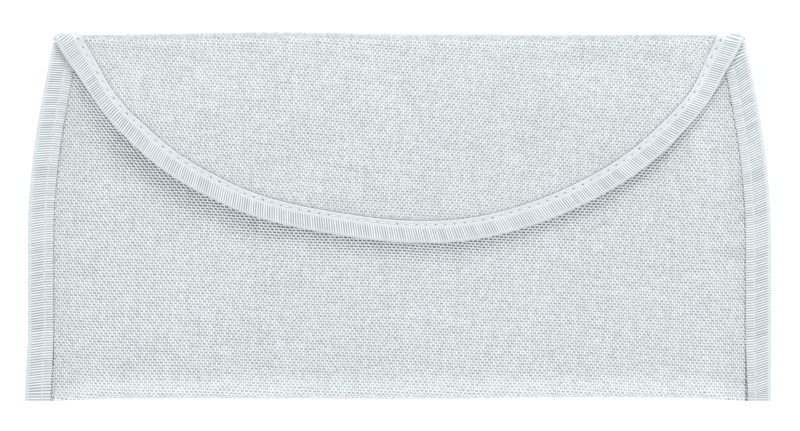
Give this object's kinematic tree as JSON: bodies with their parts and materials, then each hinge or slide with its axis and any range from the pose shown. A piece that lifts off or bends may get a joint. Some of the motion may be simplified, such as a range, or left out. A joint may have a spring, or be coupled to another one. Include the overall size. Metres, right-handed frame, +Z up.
{
  "type": "document holder",
  "caption": "flat cloth document pouch with a rounded flap and ribbed tape binding, lying closed on its back",
  "frame": {"origin": "middle of the bounding box across and along, at the height of the surface that the pouch lies on", "axes": "+X to the right across the pouch, +Y from the bottom fold to the top fold, +Z up out of the front"},
  "size_m": [0.24, 0.119, 0.011],
  "materials": {
    "cloth": "matt plain weave of thick synthetic yarn, pale cool grey",
    "tape": "ribbed grosgrain tape, pale cool grey, low sheen on the ribs",
    "fastener": "brushed loop pile of a touch fastener, pale grey"
  },
  "bodies": {
    "root": {"front_panel": "cloth", "back_panel": "cloth", "flap": "cloth", "left_binding": "tape", "right_binding": "tape", "flap_binding": "tape", "closure_patch": "fastener"}
  },
  "joints": []
}
